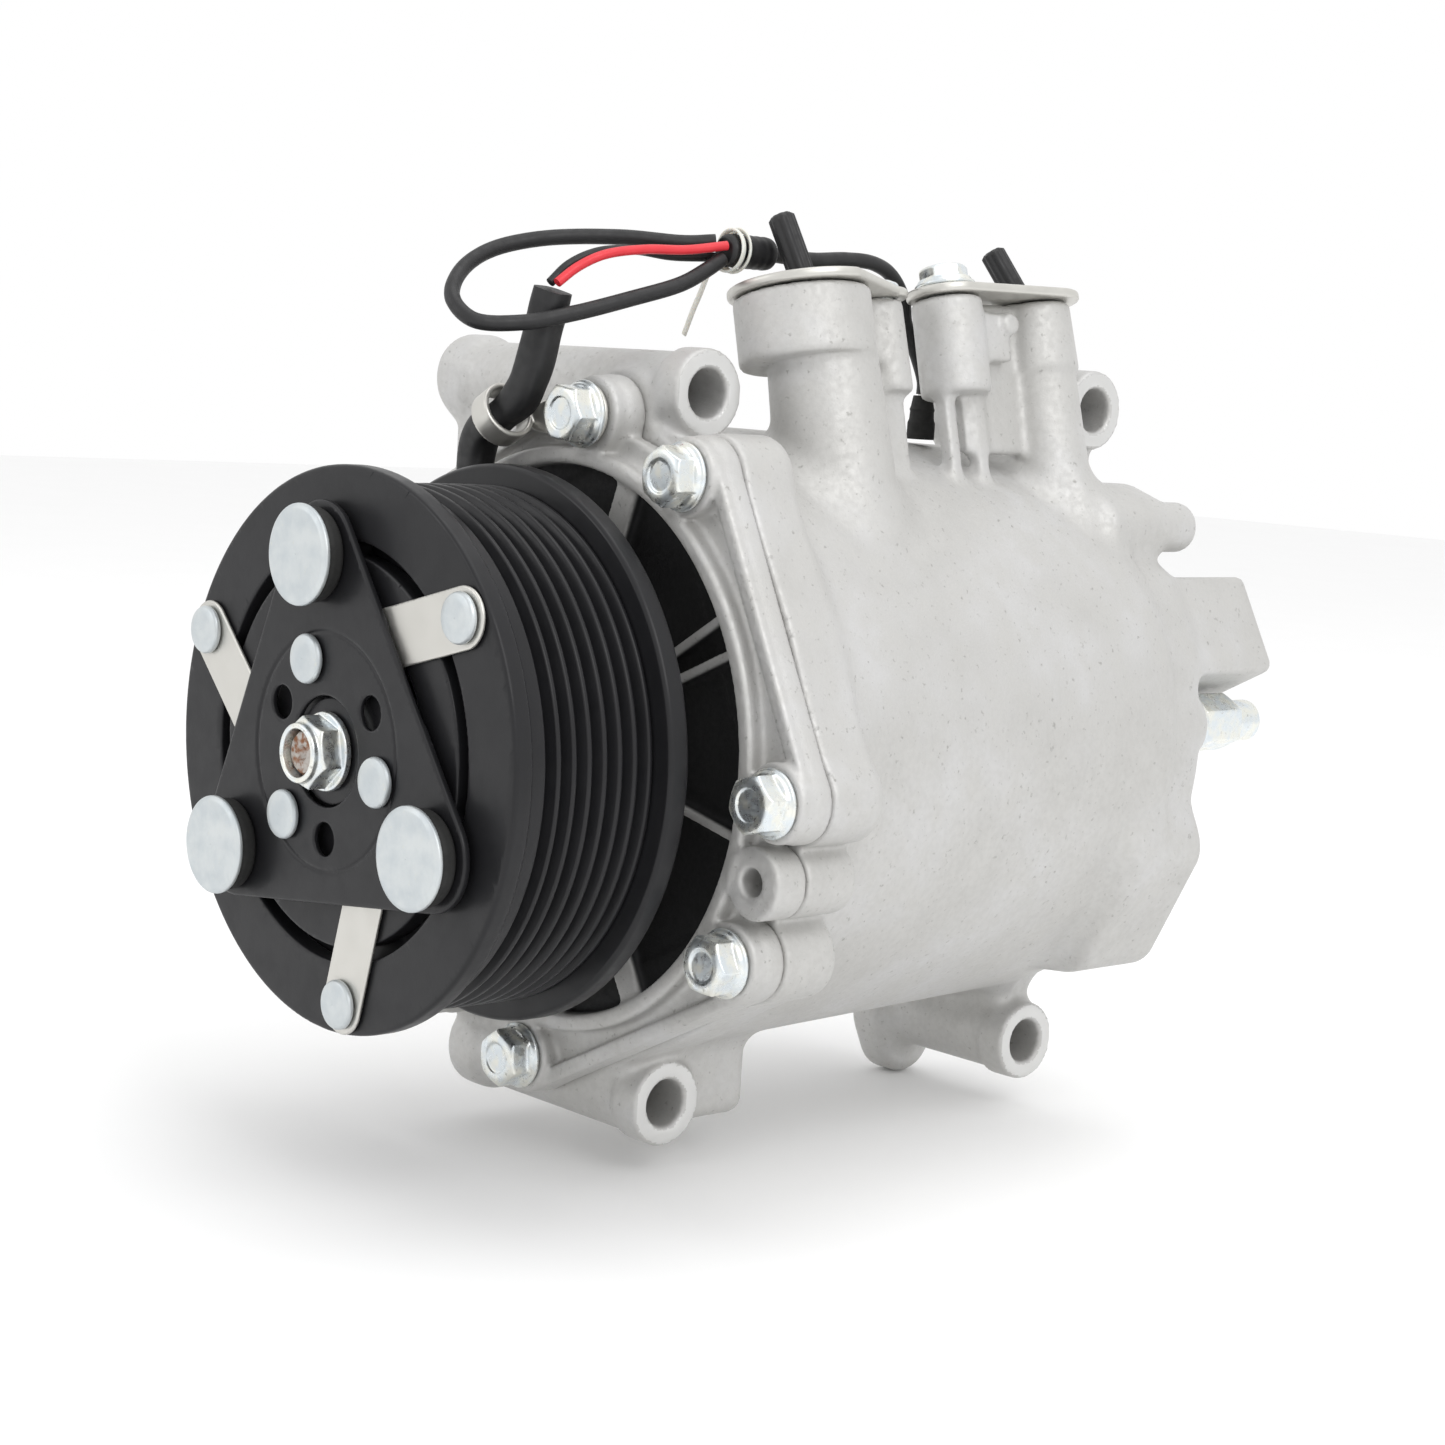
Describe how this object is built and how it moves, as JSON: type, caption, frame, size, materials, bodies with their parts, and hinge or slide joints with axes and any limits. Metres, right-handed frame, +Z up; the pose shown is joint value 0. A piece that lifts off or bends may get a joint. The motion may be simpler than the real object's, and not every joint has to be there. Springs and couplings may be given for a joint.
{
  "type": "automotive air conditioning compressor",
  "caption": "Belt-driven scroll compressor for car air conditioning, with a magnetic clutch, a multi-rib pulley, mounting lugs and two capped hose ports.",
  "frame": {"origin": "on the shaft's axis, in the plane of the two front mounting bolts", "axes": "+Y along the shaft from the clutch to the closed end, +X towards the faces of the mounting lugs, +Z up to the hose ports"},
  "size_m": [0.145, 0.2223, 0.1937],
  "materials": {
    "cast_aluminium": "as cast, fine matt grain",
    "black_steel": "black satin coating",
    "zinc_steel": "bright zinc plating",
    "bright_steel": "bare or tinned sheet steel",
    "bearing_steel": "ground steel",
    "black_rubber": "matt",
    "black_plastic": "matt",
    "red_plastic": "satin wire insulation",
    "white_plastic": "satin",
    "coil_resin": "varnished winding"
  },
  "bodies": {
    "housing": {"front_housing": "cast_aluminium", "main_housing": "cast_aluminium", "housing_bolt_1": "zinc_steel", "housing_bolt_2": "zinc_steel", "housing_bolt_3": "zinc_steel", "housing_bolt_4": "zinc_steel", "housing_bolt_5": "zinc_steel", "housing_bolt_6": "zinc_steel", "housing_bolt_7": "zinc_steel", "housing_bolt_8": "zinc_steel", "coil_snap_ring": "bright_steel", "coil_shell": "black_steel", "coil_winding": "coil_resin", "pulley_bearing_inner": "bearing_steel", "shaft_seal": "black_rubber", "front_bearing": "bearing_steel", "main_bearing": "bearing_steel", "thrust_frame": "cast_aluminium", "fixed_scroll": "cast_aluminium", "reed_stop": "bright_steel", "suction_cover": "bright_steel", "discharge_cover": "bright_steel", "suction_plug": "black_plastic", "discharge_plug": "black_plastic", "suction_cover_bolt": "zinc_steel", "discharge_cover_bolt": "zinc_steel", "relief_valve": "zinc_steel", "wire_sleeve": "black_plastic", "wire_clip": "bright_steel", "splice_sleeve": "black_plastic", "twist_tie": "white_plastic", "lead_boot": "black_rubber", "loop_cable": "black_plastic", "lead_cable": "black_plastic", "red_wire": "red_plastic", "black_wire": "black_plastic"},
    "pulley_body": {"pulley": "black_steel", "pulley_bearing_outer": "bearing_steel"},
    "ball_row": {"pulley_bearing_balls": "bearing_steel"},
    "shaft": {"drive_shaft": "bearing_steel", "counterweight": "bright_steel", "clutch_hub": "black_steel", "hub_plate": "black_steel", "hub_rivet_1": "zinc_steel", "hub_rivet_2": "zinc_steel", "hub_rivet_3": "zinc_steel", "bumper_1": "zinc_steel", "bumper_2": "zinc_steel", "bumper_3": "zinc_steel", "leaf_spring_1": "bright_steel", "leaf_spring_2": "bright_steel", "leaf_spring_3": "bright_steel", "shaft_nut": "zinc_steel"},
    "armature_body": {"armature": "black_steel", "leaf_rivet_1": "zinc_steel", "leaf_rivet_2": "zinc_steel", "leaf_rivet_3": "zinc_steel"},
    "orbiter": {"orbiting_scroll": "cast_aluminium", "orbit_bearing": "bearing_steel"},
    "reed": {"discharge_reed": "bright_steel"}
  },
  "joints": [
    {"name": "pulley_spin", "type": "hinge", "parent": "housing", "child": "pulley_body", "pos_m": [0, -0.045, 0], "axis": [0, 1, 0], "continuous": true},
    {"name": "ball_row_spin", "type": "hinge", "parent": "housing", "child": "ball_row", "pos_m": [0, -0.0456, 0], "axis": [0, 1, 0], "continuous": true},
    {"name": "shaft_spin", "type": "hinge", "parent": "housing", "child": "shaft", "pos_m": [0, -0.03, 0], "axis": [0, 1, 0], "continuous": true},
    {"name": "armature_slide", "type": "slide", "parent": "shaft", "child": "armature_body", "axis": [0, 1, 0], "range_m": [0, 0.0005], "stiffness_N_per_m": 20000, "deforming": ["leaf_spring_1", "leaf_spring_2", "leaf_spring_3"]},
    {"name": "scroll_orbit", "type": "hinge", "parent": "shaft", "child": "orbiter", "pos_m": [0, 0.006, 0.0048], "axis": [0, 1, 0], "continuous": true},
    {"name": "reed_lift", "type": "hinge", "parent": "housing", "child": "reed", "pos_m": [0, 0.05855, 0.031], "axis": [1, 0, 0], "range_deg": [0, 7], "stiffness_Nm_per_rad": 0.02}
  ],
  "couplings": [
    {"joint": "scroll_orbit", "follows": "shaft_spin", "ratio": -1},
    {"joint": "ball_row_spin", "follows": "pulley_spin", "ratio": 0.549}
  ]
}
